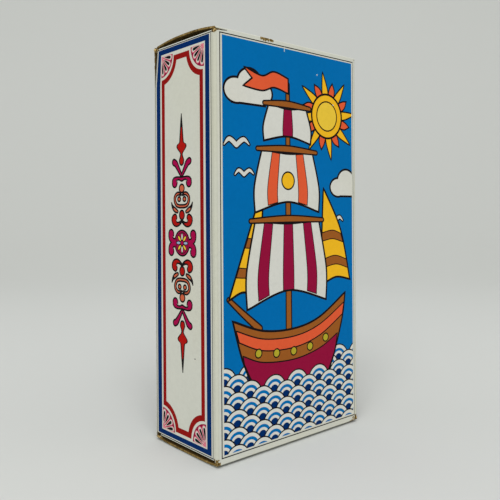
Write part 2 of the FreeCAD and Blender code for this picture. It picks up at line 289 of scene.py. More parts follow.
# White liner: the ink on it, yellowed in wide patches, greyed by handling and finely mottled.
AGED_CELLS, HANDLED_CELLS, MOTTLE_CELLS, TOOTH_CELLS = 24.0, 60.0, 700.0, 1600.0
AGED_MOST, HANDLED_MOST, MOTTLED_MOST = 0.5, 0.12, 0.08
LINER_SMOOTH, LINER_DULL = 0.42, 0.55
liner_group, given, result = new_group(
    "coated_liner",
    [("Place", VECTOR), ("Ink", COLOR)],
    [("Color", COLOR), ("Roughness", FLOAT), ("Height", FLOAT)],
)
patches = noise(liner_group, given["Place"], AGED_CELLS, 3.0)
touches = noise(liner_group, given["Place"], HANDLED_CELLS, 4.0)
mottle = noise(liner_group, given["Place"], MOTTLE_CELLS, 3.0)
aged = between(liner_group, patches, 0.4, 0.75, 0.0, AGED_MOST)
handled = between(liner_group, touches, 0.5, 0.8, 0.0, HANDLED_MOST)
mottled = between(liner_group, mottle, 0.35, 0.7, 0.0, MOTTLED_MOST)
colour = mixed(liner_group, aged, given["Ink"], AGED_TINT, "MULTIPLY")
colour = mixed(liner_group, handled, colour, HANDLED_TINT, "MULTIPLY")
colour = mixed(liner_group, mottled, colour, MOTTLED_TINT, "MULTIPLY")
liner_group.links.new(colour, result["Color"])
liner_group.links.new(between(liner_group, mottle, 0.3, 0.7, LINER_SMOOTH, LINER_DULL), result["Roughness"])
liner_group.links.new(noise(liner_group, given["Place"], TOOTH_CELLS, 3.0), result["Height"])

# Rubbed spot: a ragged mask about a middle.
RAGGED_CELLS = 900.0
RAGGEDNESS = 2.4
scuff_group, given, result = new_group(
    "scuff", [("Place", VECTOR), ("Middle", VECTOR), ("Radius", FLOAT)], [("Mask", FLOAT)]
)
ends = {0: given["Place"], 1: given["Middle"]}
reach = node(scuff_group, "ShaderNodeVectorMath", ends, operation="DISTANCE")["Value"]
share = figure(scuff_group, "DIVIDE", reach, given["Radius"])
ragged = figure(scuff_group, "SUBTRACT", noise(scuff_group, given["Place"], RAGGED_CELLS, 4.0), 0.5)
ragged = figure(scuff_group, "MULTIPLY", ragged, RAGGEDNESS)
scuff_edge = figure(scuff_group, "ADD", share, ragged)
scuff_group.links.new(between(scuff_group, scuff_edge, 1.0, 0.8), result["Mask"])

# Rubbed spots as middle and radius in millimetres: the corners, the top edge and the torn fold.
SCUFFS = [
    ((-37.4, -19.4, 151.4), 1.1),
    ((-15.8, -19.4, 152.2), 0.85),
    ((-14.7, -19.4, 152.2), 0.95),
    ((-13.5, -19.4, 152.15), 0.95),
    ((-12.3, -19.45, 152.05), 0.8),
    ((-11.2, -19.45, 151.95), 0.7),
    ((-10.2, -19.45, 151.9), 0.5),
    ((36.6, -19.2, 1.2), 2.4),
    ((34.3, -19.3, 0.5), 0.8),
    ((32.9, -19.3, 0.5), 0.5),
    ((-37.2, -19.4, 0.9), 1.6),
    ((-37.5, 18.9, 150.4), 1.6),
    ((-37.5, 19.0, 147.4), 1.2),
    ((-37.5, 19.1, 144.6), 0.8),
    ((37.4, 19.3, 151.6), 1.6),
    ((37.2, 19.2, 1.2), 1.5),
]
PULP_DULL = 0.85
LINER_BUMP, LINER_TOOTH = 0.25, 0.06 * MM
PULP_BUMP, PULP_TOOTH = 0.5, 0.1 * MM


def group_node(tree, group, **inputs):
    """A shared group placed in a material, with this material's values."""
    return node(tree, "ShaderNodeGroup", inputs, node_tree=group)


def roughen(tree, shader, height, strength, depth):
    """A fine relief on the shader's normal."""
    relief = node(tree, "ShaderNodeBump", {"Strength": strength, "Distance": depth, "Height": height})
    tree.links.new(relief["Normal"], shader.inputs["Normal"])


def finish_board(material, shader, ink, raw, inner=0.0):
    """The board's shared surface: ink on the liner, and pulp where raw says so and where it is rubbed, with
    painted shade on the pulp as far as inner says.
    """
    tree = material.node_tree
    place = node(tree, "ShaderNodeTexCoord", {})["Object"]
    liner = group_node(tree, liner_group, Place=place, Ink=ink)
    pulp = group_node(tree, pulp_group, Place=place, Inner=inner)
    for middle, radius in SCUFFS:
        spot = group_node(tree, scuff_group, Place=place, Middle=Vector(middle) * MM, Radius=radius * MM)
        raw = figure(tree, "MAXIMUM", raw, spot["Mask"])
    tree.links.new(mixed(tree, raw, liner["Color"], pulp["Color"]), shader.inputs["Base Color"])
    tree.links.new(blended(tree, raw, liner["Roughness"], PULP_DULL), shader.inputs["Roughness"])
    roughen(tree, shader, blended(tree, raw, liner["Height"], pulp["Height"]), LINER_BUMP, LINER_TOOTH)


def bare_board(name, inner):
    """Bare pulp, as on a cut edge, or as on the inner side, which painted shade makes darker."""
    material, shader = new_material(name, PULP_DULL, 0.1)
    tree = material.node_tree
    pulp = group_node(tree, pulp_group, Place=node(tree, "ShaderNodeTexCoord", {})["Object"], Inner=inner)
    tree.links.new(pulp["Color"], shader.inputs["Base Color"])
    roughen(tree, shader, pulp["Height"], PULP_BUMP, PULP_TOOTH)
    return material


printed_liner, printed_shader = new_material("printed_liner", 0.5, 0.02)
ink_read = node(printed_liner.node_tree, "ShaderNodeAttribute", {}, attribute_name="ink")["Color"]
finish_board(printed_liner, printed_shader, ink_read, 0.0)
# The inner side of the printed panels, darkened with painted shade.
inner_board_painted_shade = bare_board("inner_chipboard_painted_shade", 1.0)
cut_edge = bare_board("cut_chipboard_edge", 0.0)


# Side panels. Two tall panels of the sleeve, printed on the white liner with a navy line, a red band
# notched round a fan at each corner, and a column of scrolls, beads and leaves up the middle. They are
# creased from the same sheet as the front, and the right one ends in the glue flap.
BLACK = seen(22, 18, 20)
NAVY = seen(0, 40, 95)
BAND_RED = seen(139, 18, 15)
MAROON = seen(140, 16, 56)
PINK = seen(214, 122, 138)
MAGENTA = seen(160, 6, 70)
RED = seen(168, 20, 14)
ORANGE = seen(196, 94, 64)
PALE_BLUE = seen(150, 168, 198)
YELLOW = seen(226, 190, 60)
GREY_LINE = seen(42, 44, 50)
PRINT_STEP = 0.45
OVAL_SIDES = 14
CAP_STEPS = 7
THINNEST = 0.06
LEAST_MITRE = 0.5
ARC_STEPS = 24


def curve_through(spots, closed=True, corners=()):
    """A smooth line through the spots, in short steps, that turns sharply at the corners."""
    spots = [Vector(spot) for spot in spots]
    count = len(spots)
    line = []
    for i in range(count if closed else count - 1):
        here, there = spots[i], spots[(i + 1) % count]
        open_start = not closed and i == 0
        open_end = not closed and i == count - 2
        before = here if open_start or i in corners else spots[i - 1]
        beyond = there if open_end or (i + 1) % count in corners else spots[(i + 2) % count]
        first, last = here + (there - before) / 6, there - (beyond - here) / 6
        steps = max(2, round((there.xy - here.xy).length / PRINT_STEP))
        for k in range(steps):
            t = k / steps
            start_pull = here * (1 - t) ** 3 + first * 3 * t * (1 - t) ** 2
            end_pull = last * 3 * t * t * (1 - t)
            line.append(start_pull + end_pull + there * t ** 3)
    return line if closed else line + [spots[-1]]


def ordered(outline):
    """The outline run anticlockwise from its lowest spot."""
    turn = sum(a.cross(b) for a, b in zip(outline, outline[1:] + outline[:1]))
    outline = outline if turn > 0 else outline[::-1]
    low = min(range(len(outline)), key=lambda i: (outline[i].y, outline[i].x))
    return outline[low:] + outline[:low]


def grown(outline, width):
    """The outline moved outwards by a width, its corners kept pointed."""
    outline = ordered(outline)
    moved_out = []
    for i, spot in enumerate(outline):
        come = (spot - outline[i - 1]).normalized()
        go = (outline[(i + 1) % len(outline)] - spot).normalized()
        way = (come + go).normalized()
        out = Vector((way.y, -way.x))
        moved_out.append(spot + out * width / max(LEAST_MITRE, out.dot(Vector((go.y, -go.x)))))
    return moved_out


def oval(x, y, half_width, half_height):
    """An oval outline."""
    count = max(OVAL_SIDES, round(2 * math.pi * max(half_width, half_height) / PRINT_STEP))
    turns = [2 * math.pi * i / count for i in range(count)]
    return [Vector((x + half_width * math.cos(t), y + half_height * math.sin(t))) for t in turns]


def oblong(left, low, right, high):
    """A rectangle's outline."""
    return [Vector(spot) for spot in ((left, low), (right, low), (right, high), (left, high))]


def brushed(spots, thinner=0.0):
    """A leaf or scroll: a line that swells to the radius given with each spot, with round ends."""
    spine = curve_through([(x, y, max(THINNEST, radius - thinner)) for x, y, radius in spots], closed=False)
    left, right = [], []
    for i, spot in enumerate(spine):
        way = (spine[min(i + 1, len(spine) - 1)] - spine[max(i - 1, 0)]).xy.normalized()
        left.append(spot.xy + Vector((-way.y, way.x)) * spot.z)
        right.append(spot.xy + Vector((way.y, -way.x)) * spot.z)
    caps = []
    for end, start in ((spine[-1], left[-1]), (spine[0], right[0])):
        arm = start - end.xy
        turns = [-math.pi * k / CAP_STEPS for k in range(1, CAP_STEPS)]
        caps.append([end.xy + Matrix.Rotation(t, 2) @ arm for t in turns])
    return left + caps[0] + right[::-1] + caps[1]


def moved(outline, x=0.0, y=0.0, flip_x=1, flip_y=1):
    """The outline flipped about nought, then shifted."""
    return [Vector((spot.x * flip_x + x, spot.y * flip_y + y)) for spot in outline]


def turned(outline, angle, x=0.0, y=0.0):
    """The outline turned about nought, then shifted."""
    return [Matrix.Rotation(angle, 2) @ spot + Vector((x, y)) for spot in outline]


# The column's middle, and the four ways in which its quarter is laid.
COLUMN_X, COLUMN_Y = 20.2, 76.4
QUARTERS = [(1, 1), (-1, 1), (1, -1), (-1, -1)]
COLUMN_LINE = 0.48
COLUMN_SPREAD = 0.17
LEAST_CORE = 0.08
column_black = []
column_ink = []


def column_brush(ink, *spots):
    """A brushed form of the column in all four quarters, its black edge inside its outline."""
    core = [spot for spot in spots if spot[2] > COLUMN_LINE + LEAST_CORE]
    for flip_x, flip_y in QUARTERS:
        if flip_x < 0 and all(spot[0] == 0 for spot in spots):
            continue
        quarter = (COLUMN_X, COLUMN_Y, flip_x, flip_y)
        column_black.append((BLACK, moved(brushed(spots, -COLUMN_SPREAD), *quarter)))
        column_ink.append((ink, moved(brushed(core, COLUMN_LINE), *quarter)))


def column_oval(ink, x, y, half_width, half_height):
    """An oval bead of the column in all four quarters."""
    for flip_x, flip_y in QUARTERS:
        if flip_x < 0 and x == 0:
            continue
        place = (x * flip_x + COLUMN_X, y * flip_y + COLUMN_Y)
        column_black.append((BLACK, oval(*place, half_width + COLUMN_SPREAD, half_height + COLUMN_SPREAD)))
        column_ink.append((ink, oval(*place, half_width - COLUMN_LINE, half_height - COLUMN_LINE)))


# Spear with its bulb and drop, then the club leaves and the curled pair under them.
column_brush(
    RED, (0, 47.6, 0.1), (0, 44.5, 0.5), (0, 42.4, 0.76), (0, 38.6, 1.15), (0, 37.1, 1.4), (0, 36.75, 2.1),
    (0, 36.3, 2.85), (0, 35.6, 3.1), (0, 35.0, 2.8), (0, 34.2, 1.95), (0, 33.3, 0.95), (0, 32.6, 0.66),
    (0, 31.7, 0.98), (0, 30.7, 1.52), (0, 30.0, 1.45),
)
column_brush(
    MAGENTA, (4.9, 30.0, 1.3), (3.7, 29.4, 1.25), (2.4, 27.8, 1.0), (1.2, 26.2, 0.82), (0.35, 25.1, 0.65)
)
column_brush(
    MAGENTA, (0.2, 23.6, 0.9), (1.8, 23.9, 0.66), (3.5, 23.8, 0.85), (4.8, 23.0, 1.4), (4.55, 22.2, 1.75)
)
# Bead and scrolled ring, with horn leaves under them.
column_brush(
    ORANGE, (0.6, 17.8, 0.45), (1.7, 18.25, 0.64), (3.1, 18.1, 0.68), (4.35, 17.0, 0.7), (4.4, 15.5, 0.7),
    (3.4, 14.1, 0.7), (1.7, 13.6, 0.7), (0, 13.55, 0.7),
)
column_oval(ORANGE, 0, 20.15, 1.75, 1.68)
column_oval(ORANGE, 1.7, 16.2, 1.12, 1.02)
column_brush(
    ORANGE, (6.7, 14.9, 0.14), (6.1, 13.6, 0.5), (5.0, 12.6, 0.84), (3.9, 12.0, 0.84), (2.9, 11.6, 0.62)
)
# Bead and comma scrolls above the middle flower.
column_brush(
    RED, (4.5, 9.4, 1.4), (5.1, 8.8, 1.65), (4.8, 7.7, 1.45), (3.5, 6.9, 1.0), (1.9, 7.1, 0.72),
    (0.4, 7.9, 0.5),
)
column_oval(RED, 0, 10.35, 1.72, 1.85)
# Middle flower: a disc with four hooked lobes, and eight petals round a dot.
DISC = 4.85
PETAL_AT, PETAL_LONG, PETAL_WIDE, PETAL_LINE = 2.3, 1.15, 0.46, 0.3
PETAL_INKS = (PALE_BLUE, YELLOW, PAPER, YELLOW, PALE_BLUE, YELLOW, PAPER, YELLOW)
column_brush(MAGENTA, (4.6, 0.4, 1.2), (6.3, 0.75, 1.25), (7.25, 1.8, 1.5), (7.05, 3.2, 1.85))
column_oval(MAGENTA, 0, 0, DISC, DISC)
for ink, radius in ((BLACK, 3.95), (MAGENTA, 3.65)):
    column_ink.append((ink, oval(COLUMN_X, COLUMN_Y, radius, radius)))
for i, petal_ink in enumerate(PETAL_INKS):
    petal = oval(PETAL_AT, 0, PETAL_LONG, PETAL_WIDE)
    angle = i * 2 * math.pi / len(PETAL_INKS)
    column_ink.append((BLACK, turned(grown(petal, PETAL_LINE), angle, COLUMN_X, COLUMN_Y)))
    column_ink.append((petal_ink, turned(petal, angle, COLUMN_X, COLUMN_Y)))
for ink, radius in ((BLACK, 1.2), (MAGENTA, 0.85)):
    column_ink.append((ink, oval(COLUMN_X, COLUMN_Y, radius, radius)))

# Frames: a hair line, the navy line, and the red band whose corners are notched in quarter circles.
BAND_LEFT, BAND_LOW, BAND_RIGHT, BAND_HIGH = 6.72, 5.65, 33.25, 146.5
BAND_WIDTH = 2.07
NOTCH = 8.25


def notched(inset):
    """The red band's outline at an inset, notched round the corners of the band's outer rectangle."""
    outline = []
    radius = NOTCH + inset
    spare = math.asin(inset / radius)
    low_corners = ((BAND_LEFT, BAND_LOW, 90), (BAND_RIGHT, BAND_LOW, 180))
    high_corners = ((BAND_RIGHT, BAND_HIGH, 270), (BAND_LEFT, BAND_HIGH, 0))
    for x, y, start in low_corners + high_corners:
        for k in range(ARC_STEPS + 1):
            angle = math.radians(start) - spare - (math.pi / 2 - 2 * spare) * k / ARC_STEPS
            outline.append(Vector((x + radius * math.cos(angle), y + radius * math.sin(angle))))
    return outline


side_print = [
    # Painted shade along the fold at the panel's front edge.
    (FOLD_PAINTED_SHADE, oblong(0.0, -2.0, 2.0, 154.0)),
    (GREY_LINE, oblong(2.0, 1.75, 37.75, 150.7)),
    (PAPER, oblong(2.3, 2.05, 37.45, 150.4)),
    (NAVY, oblong(3.0, 2.75, 36.85, 149.9)),
    (PAPER, oblong(5.5, 4.55, 34.2, 147.95)),
    (BAND_RED, notched(0.0)),
    (PAPER, notched(BAND_WIDTH)),
]

# Corner fans: a quarter disc with four flared petals.
FAN_RADIUS = 8.0
FAN_ANGLES = [math.radians(degrees) for degrees in (9, 32, 56, 80)]
FAN_LEFT, FAN_LOW, FAN_RIGHT, FAN_HIGH = 6.1, 5.05, 33.6, 147.2
sector = [Vector((0, 0))]
for k in range(ARC_STEPS + 1):
    angle = math.pi / 2 * k / ARC_STEPS
    sector.append(FAN_RADIUS * Vector((math.cos(angle), math.sin(angle))))
fan = [(MAROON, sector)]
for angle in FAN_ANGLES:
    fan.append((PINK, turned(brushed([(0.4, 0, 0.12), (3.4, 0, 0.55), (6.4, 0, 1.2)]), angle)))
    fan.append((PAPER, turned(brushed([(1.8, 0, 0.1), (4.2, 0, 0.52), (6.4, 0, 0.88)]), angle)))
    fan.append((BLACK, turned(brushed([(2.6, 0, 0.1), (4.8, 0, 0.5), (6.2, 0, 0.56)]), angle)))
for apex_x, flip_x in ((FAN_LEFT, 1), (FAN_RIGHT, -1)):
    for apex_y, flip_y in ((FAN_LOW, 1), (FAN_HIGH, -1)):
        side_print += [(ink, moved(outline, apex_x, apex_y, flip_x, flip_y)) for ink, outline in fan]
side_print += column_black + column_ink

BOARD = 0.7
MERGE = 1e-4
INSIDE_OUTLINES = 1


def printed_board(name, node_name, outline, layers, cuts, place, rim):
    """A panel cut to its outline, its print laid in order with each ink over the last, folded to its
    place, and backed with the board's thickness."""
    loops = [outline] + [loop for ink, loop in layers]
    spots = [spot for loop in loops for spot in ordered(loop)]
    faces = []
    for loop in loops:
        start = faces[-1][-1] + 1 if faces else 0
        faces.append(list(range(start, start + len(loop))))
    edges = []
    for cut in cuts:
        edges.append((len(spots), len(spots) + 1))
        spots += [Vector(end) for end in cut]
    spots, _, tiles, _, _, owners = delaunay_2d_cdt(spots, edges, faces, INSIDE_OUTLINES, MERGE)
    sheet = bmesh.new()
    ink_layer = sheet.loops.layers.float_color.new("ink")
    corners = [sheet.verts.new(place(spot.x, spot.y)) for spot in spots]
    for tile, over in zip(tiles, owners):
        if 0 not in over:
            continue
        face = sheet.faces.new([corners[i] for i in tile])
        top = max(over)
        for loop in face.loops:
            loop[ink_layer] = layers[top - 1][0] if top else PAPER
    bmesh.ops.delete(sheet, geom=[spot for spot in sheet.verts if not spot.link_faces], context="VERTS")
    for edge in sheet.edges:
        edge.smooth = not edge.is_boundary
    middle = sum((Vector(corner) for corner in cad_box), Vector()) / 2
    outward = 0.0
    for face in sheet.faces:
        face.smooth = True
        outward += (face.calc_center_median() - middle).dot(face.normal) * face.calc_area()
    if outward < 0:
        bmesh.ops.reverse_faces(sheet, faces=sheet.faces)
    piece = new_piece(name, sheet, printed_liner, inner_board_painted_shade, rim)
    board = piece.modifiers.new("board", "SOLIDIFY")
    board.thickness = BOARD * MM
    board.offset = -1.0
    board.use_even_offset = True
    board.material_offset = 1
    board.material_offset_rim = 2
    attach(piece, "sleeve")
    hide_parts(node_name)


def in_mm(low_and_high):
    """The low and the high corner of a box, in millimetres."""
    low, high = low_and_high
    return [value / MM for value in low], [value / MM for value in high]


# Print is measured from the case's front left edge and from a foot a little above what it stands on.
PRINT_FOOT = 0.5
case_low, case_high = in_mm(cad_box)

# The left panel's top back corner leans away from a torn fold.
TEAR_WIDTH = 2.0
TEAR_LENGTH = 14.0
TEAR_ROOT = 31.0
panel_low, panel_high = in_mm(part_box("left_side_panel"))
side_front = panel_low[1] - case_low[1]
side_back = panel_high[1] - case_low[1]
side_foot = panel_low[2] - PRINT_FOOT
side_head = panel_high[2] - PRINT_FOOT
tear_foot = side_head - TEAR_LENGTH
left_back = side_back
left_outline = oblong(side_front, side_foot, left_back, side_head)
side_marks = [(BLACK, oval(12.5, 35.0, 0.32, 0.22))]
tear_cuts = [
    ((TEAR_ROOT, tear_foot), (left_back, tear_foot)),
    ((TEAR_ROOT, tear_foot), (TEAR_ROOT, side_head)),
]


def left_place(u, v):
    """A spot of the left side's blank in its place."""
    rise = max(0.0, v - tear_foot) / TEAR_LENGTH
    lean = TEAR_WIDTH * rise * max(0.0, u - TEAR_ROOT) / (left_back - TEAR_ROOT)
    return Vector((case_low[0], case_low[1] + u - lean, v + PRINT_FOOT)) * MM


left_layers = side_print + side_marks
printed_board(
    "left_side_print", "left_side_panel", left_outline, left_layers, tear_cuts, left_place, cut_edge
)

# The right panel runs into the glue flap's fold, between the flap's two ends.
GLUE_END = 14.0
SEAM_FOLD = 1.1
panel_low, panel_high = in_mm(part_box("right_side_panel"))
side_back = panel_high[1] - case_low[1]
right_outline = [Vector(spot) for spot in (
    (side_front, side_foot),
    (side_back, side_foot),
    (side_back, side_foot + GLUE_END),
    (side_back - SEAM_FOLD, side_foot + GLUE_END),
    (side_back - SEAM_FOLD, side_head - GLUE_END),
    (side_back, side_head - GLUE_END),
    (side_back, side_head),
    (side_front, side_head),
)]


def right_place(u, v):
    """A spot of the right side's blank in its place."""
    return Vector((case_high[0], case_low[1] + u, v + PRINT_FOOT)) * MM


printed_board("right_side_print", "right_side_panel", right_outline, side_print, [], right_place, cut_edge)


# Front and back panels. Wide panels of the sleeve with a white margin, a hair line and a blue field,
# printed with a sailing boat under the sun. The front turns into both sides, and the back into the left.
BLUE = seen(0, 103, 168)
WHITE = seen(206, 206, 198)
AMBER = seen(232, 178, 34)
BROWN = seen(148, 86, 34)
RED_ORANGE = seen(216, 88, 52)
GOLD_GREEN = seen(172, 160, 44)
FIELD_LEFT, FIELD_LOW, FIELD_RIGHT, FIELD_HIGH = 3.25, 3.1, 72.3, 149.55
HAIR_LEFT, HAIR_LOW, HAIR_RIGHT, HAIR_HIGH = 2.1, 2.1, 73.2, 150.4
HAIR_LINE = 0.4
FAINT_LINE = 0.22
PICTURE_LINE = 0.85
FIELD_SPARE = 1
field_print = [(BLUE, oblong(
    FIELD_LEFT - FIELD_SPARE, FIELD_LOW - FIELD_SPARE, FIELD_RIGHT + FIELD_SPARE, FIELD_HIGH + FIELD_SPARE
))]


def inked(ink, *outlines, line=PICTURE_LINE):
    """Forms of one colour with one black line round them all."""
    field_print.extend((BLACK, grown(outline, line)) for outline in outlines)
    field_print.extend((ink, outline) for outline in outlines)


def form(*spots, corners=()):
    """A smooth closed outline, with sharp corners where they are named."""
    return curve_through(spots, True, corners)


# Sun with two kinds of ray.
SUN_X, SUN_Y = 57.0, 126.0
SUN_RAYS = 16
SUN_TURN = 0.1
for i in range(SUN_RAYS):
    short = i % 2
    tip = 17.0 - 3.6 * short
    ray = form((6.5, -1.5), (11.0, -1.2), (tip, 0.6), (11.0, 1.4), (6.5, 1.5), corners=(0, 2, 4))
    angle = 2 * math.pi * i / SUN_RAYS + SUN_TURN
    inked(RED_ORANGE if short else AMBER, turned(ray, angle, SUN_X, SUN_Y), line=0.6)
inked(AMBER, oval(SUN_X, SUN_Y, 8.4, 8.4))
inked(YELLOW, oval(SUN_X, SUN_Y, 5.6, 5.6), line=0.55)

# Clouds and gulls.
inked(
    WHITE, oval(9.5, 131.0, 5.2, 4.2), oval(16.0, 134.0, 5.6, 5.2), oval(22.0, 131.2, 4.6, 3.8),
    oblong(8.0, 127.0, 23.0, 131.0),
)
inked(
    WHITE, oval(63.5, 97.5, 4.4, 3.4), oval(68.5, 100.0, 5.0, 4.6), oval(73.0, 97.5, 4.0, 3.2),
    oblong(63.0, 94.3, 73.0, 97.0),
)
for x, y, size in ((9.5, 112.0, 1.0), (13.0, 101.5, 0.75), (61.5, 84.0, 0.8)):
    breast = (0, -0.5 * size, 0.85 * size)
    wings = [
        [(-5.6 * size, -0.6 * size, 0.15), (-3.2 * size, 1.5 * size, 0.75 * size), breast],
        [breast, (3.4 * size, 1.7 * size, 0.75 * size), (6.0 * size, 0, 0.15)],
    ]
    inked(WHITE, *[moved(brushed(wing), x, y) for wing in wings], line=0.55)

# Sea: rows of ringed scales, each row over the one behind. The first rows lie behind the boat.
SCALE = 6.0
SCALE_RINGS = ((BLACK, SCALE), (WHITE, 5.5), (BLUE, 4.2), (WHITE, 3.1), (NAVY, 2.1))
SCALES_ACROSS = 7
ROW_STEP = 3.1
SEA_TOP = 27.5
SEA_ROWS = 11
ROWS_BEHIND = 2


def sea_row(row):
    """One row of ringed scales across the field."""
    height = SEA_TOP - row * ROW_STEP
    start = FIELD_LEFT + (SCALE if row % 2 else 0.0)
    for i in range(SCALES_ACROSS):
        for ink, radius in SCALE_RINGS:
            field_print.append((ink, oval(start + 2 * SCALE * i, height, radius, radius)))


for row in range(ROWS_BEHIND):
    sea_row(row)

# Boat: mast and bowsprit, a pennant, and the banded sails at bow and stern.
MAST = 35.0
inked(BROWN, brushed([(MAST, 40, 1.2), (MAST, 90, 1.0), (MAST, 136, 0.6)]), line=0.6)
inked(BROWN, brushed([(20, 45, 1.1), (12, 51.5, 0.8), (5.6, 57, 0.5)]), line=0.6)
pennant = form(
    (MAST, 138), (28, 139.6), (22, 137.4), (14, 139.4), (17.6, 136.2), (13.6, 133.2), (22, 132.6),
    (28, 134.4), (MAST, 133), corners=(0, 3, 4, 5, 8),
)
inked(RED_ORANGE, pennant, line=0.7)
for sail, bands in (
    (((6.4, 57.4), (13.5, 75), (22, 96), (20.5, 76), (19, 58), (12, 59.4)), (
        ((9.4, 64.6), (14.0, 64.2), (19.6, 64.4), (19.9, 67.4), (14.5, 67.2), (10.6, 67.6)),
        ((13.6, 75.0), (16.5, 74.8), (20.6, 75.0), (20.9, 78.0), (17.5, 77.8), (14.8, 78.0)),
    )),
    (((70, 60), (64.6, 80), (55, 96), (54, 76), (54, 59), (62, 61.4)), (
        ((69.0, 64.6), (62, 66.4), (54, 65.2), (54, 68.2), (61.4, 69.6), (68.2, 67.8)),
        ((66.0, 75.4), (60, 76.8), (54, 76.0), (54, 79.0), (60, 79.9), (64.8, 78.5)),
    )),
):
    inked(AMBER, form(*sail, corners=(0, 2, 4)))
    for band in bands:
        inked(BROWN, form(*band, corners=(0, 2, 3, 5)), line=0.4)

# Square sails, bellied between yard and foot, with upright stripes.
HEAD_SAG = 1.2
FOOT_ARCH = 0.17
BELLY_AT = 0.4
BELLY = 0.2
YARD_PAST = 2.5
for low, high, half_low, half_high, ink, stripes in (
    (53.0, 84.0, 20.5, 16.5, MAROON, ((-0.74, -0.5), (-0.13, 0.13), (0.5, 0.74))),
    (88.0, 110.5, 16.5, 13.0, RED_ORANGE, ((-0.62, -0.34), (0.34, 0.62))),
    (114.5, 127.5, 12.0, 9.5, MAROON, ((-0.2, 0.2),)),
):
    half_belly = half_low + BELLY
    belly = low + (high - low) * BELLY_AT
    arch = (high - low) * FOOT_ARCH
    square_sail = form(
        (MAST - half_high, high), (MAST, high - HEAD_SAG), (MAST + half_high, high),
        (MAST + half_belly, belly), (MAST + half_low, low), (MAST, low + arch), (MAST - half_low, low),
        (MAST - half_belly, belly),
        corners=(0, 2, 4, 6),
    )
    inked(WHITE, square_sail)
    cloths = []
    for near, far in stripes:
        near_foot, far_foot = low + arch * (1 - near ** 2), low + arch * (1 - far ** 2)
        near_head, far_head = high - HEAD_SAG * (1 - near ** 2), high - HEAD_SAG * (1 - far ** 2)
        cloths.append(form(
            (MAST + half_high * near, near_head), (MAST + half_belly * near, belly),
            (MAST + half_low * near, near_foot), (MAST + half_low * far, far_foot),
            (MAST + half_belly * far, belly), (MAST + half_high * far, far_head),
            corners=(0, 2, 3, 5),
        ))
    inked(ink, *cloths, line=0.35)
    half_yard = half_high + YARD_PAST
    yard = [(MAST - half_yard, high + 0.4, 0.5), (MAST, high + 1.0, 1.0), (MAST + half_yard, high + 0.4, 0.5)]
    inked(BROWN, brushed(yard), line=0.6)
inked(AMBER, oval(MAST, 99.5, 3.0, 3.0), line=0.6)

# Hull with its rail, its planking under the ports, and the sea in front of it.
hull = form(
    (8, 48.5), (22, 43.6), (38, 42.6), (52, 45.4), (67, 53.5), (65.2, 44), (60.5, 31), (57, 24), (38, 22),
    (20, 23.5), (13, 33), corners=(0, 4, 7),
)
rail = form(
    (9.3, 45.2), (22, 40.8), (38, 39.8), (52, 42.6), (66.4, 49.8), (65.5, 45.6), (52, 38.8), (38, 36.0),
    (22, 37.0), (10.6, 41.4), corners=(0, 4, 5, 9),
)
planking = form(
    (12.4, 35.8), (22, 32.2), (38, 31.0), (52, 33.2), (62.3, 37.6), (60.5, 31), (57, 24.4), (38, 22.4),
    (20, 23.9), (13, 33), corners=(0, 4, 6, 9),
)
inked(BROWN, hull)
inked(RED_ORANGE, rail, line=0.5)
inked(MAROON, planking, line=0.5)
PORT = 1.35
for x, y in ((19.5, 36.1), (28.5, 34.9), (37.5, 34.4), (46.5, 34.9), (55.5, 37.2)):
    inked(GOLD_GREEN, oval(x, y, PORT, PORT), line=0.5)
for row in range(ROWS_BEHIND, SEA_ROWS):
    sea_row(row)

# Margin, with the hair line round the field and a band of painted shade on the folds.
FOLD = 1.1
FOLD_STEPS = 6
FOLD_RUN = FOLD * math.pi / 2
PAST = 4.0
CASE_WIDTH = case_high[0] - case_low[0]
PRINT_HEAD = 154.0
margins = (
    oblong(-PAST, -PAST, FIELD_LEFT, PRINT_HEAD),
    oblong(FIELD_RIGHT, -PAST, CASE_WIDTH + PAST, PRINT_HEAD),
    oblong(-PAST, -PAST, CASE_WIDTH + PAST, FIELD_LOW),
    oblong(-PAST, FIELD_HIGH, CASE_WIDTH + PAST, PRINT_HEAD),
)
hairs = (
    oblong(HAIR_LEFT, HAIR_LOW, HAIR_LEFT + HAIR_LINE, HAIR_HIGH),
    oblong(HAIR_RIGHT - FAINT_LINE, HAIR_LOW, HAIR_RIGHT, HAIR_HIGH),
    oblong(HAIR_LEFT, HAIR_LOW, HAIR_RIGHT, HAIR_LOW + HAIR_LINE),
    oblong(HAIR_LEFT, HAIR_HIGH - HAIR_LINE, HAIR_RIGHT, HAIR_HIGH),
)
fold_painted_shade_bands = (
    oblong(-PAST, -PAST, FOLD, PRINT_HEAD),
    oblong(CASE_WIDTH - FOLD, -PAST, CASE_WIDTH + PAST, PRINT_HEAD),
)
field_print += [(PAPER, margin) for margin in margins]
field_print += [(BLACK, hair) for hair in hairs]
field_print += [(FOLD_PAINTED_SHADE, band) for band in fold_painted_shade_bands]


def folded(u, starts_with_fold):
    """Where a spot of the flat blank lies along the panel, and how far a fold has turned it inwards."""
    past_left = max(0.0, FOLD - u) / FOLD if starts_with_fold else 0.0
    past_right = max(0.0, u - CASE_WIDTH + FOLD) / FOLD
    turn = max(past_left, past_right)
    flat = min(max(u, FOLD) if starts_with_fold else u, CASE_WIDTH - FOLD)
    return flat + FOLD * (math.sin(past_right) - math.sin(past_left)), FOLD * (1 - math.cos(turn))


def front_place(u, v):
    """A spot of the front's blank in its place."""
    along, inward = folded(u, True)
    return Vector((case_low[0] + along, case_low[1] + inward, v + PRINT_FOOT)) * MM


def back_place(u, v):
    """A spot of the back's blank in its place."""
    along, inward = folded(u, False)
    return Vector((case_high[0] - along, case_high[1] - inward, v + PRINT_FOOT)) * MM


